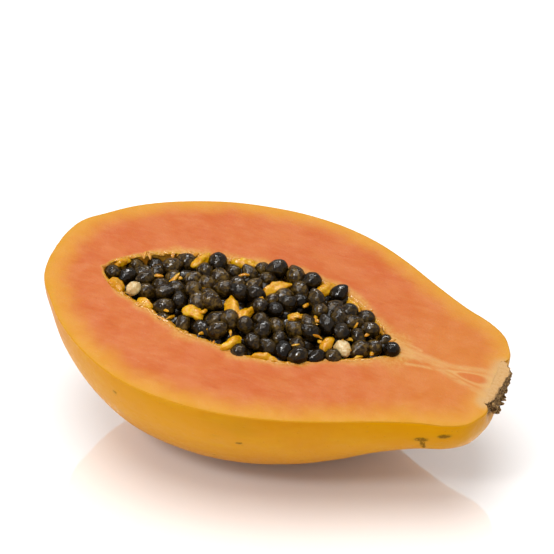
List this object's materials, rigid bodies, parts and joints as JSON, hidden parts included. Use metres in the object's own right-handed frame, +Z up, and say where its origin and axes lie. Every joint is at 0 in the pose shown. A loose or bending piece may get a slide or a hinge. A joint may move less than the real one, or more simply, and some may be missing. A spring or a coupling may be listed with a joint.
{
  "type": "halved papaya",
  "caption": "Ripe papaya cut lengthwise, lying on its rounded skin with the moist orange flesh and the hollow of dark seeds open upwards.",
  "frame": {"origin": "middle of the small flat spot on the rounded back that the half rests on", "axes": "+Z up, +X along the fruit towards the stem end, +Y towards the higher, far side of the cut face"},
  "size_m": [0.1663, 0.1068, 0.061],
  "materials": {
    "fruit_flesh_and_skin": "moist orange flesh with a smooth waxy ochre skin",
    "dark_seeds": "wet and glossy",
    "dry_stem": "rough, dry and corky",
    "yellow_pulp": "moist and soft",
    "pale_seeds": "moist and pale"
  },
  "bodies": {
    "root": {"fruit_half": "fruit_flesh_and_skin", "seed_mass": "dark_seeds", "stem_stub": "dry_stem", "pulp_strand_1": "yellow_pulp", "pulp_strand_2": "yellow_pulp", "pulp_strand_3": "yellow_pulp", "pulp_strand_4": "yellow_pulp", "pulp_strand_5": "yellow_pulp", "pulp_strand_6": "yellow_pulp", "pale_seed_1": "pale_seeds", "pale_seed_2": "pale_seeds"}
  },
  "joints": []
}
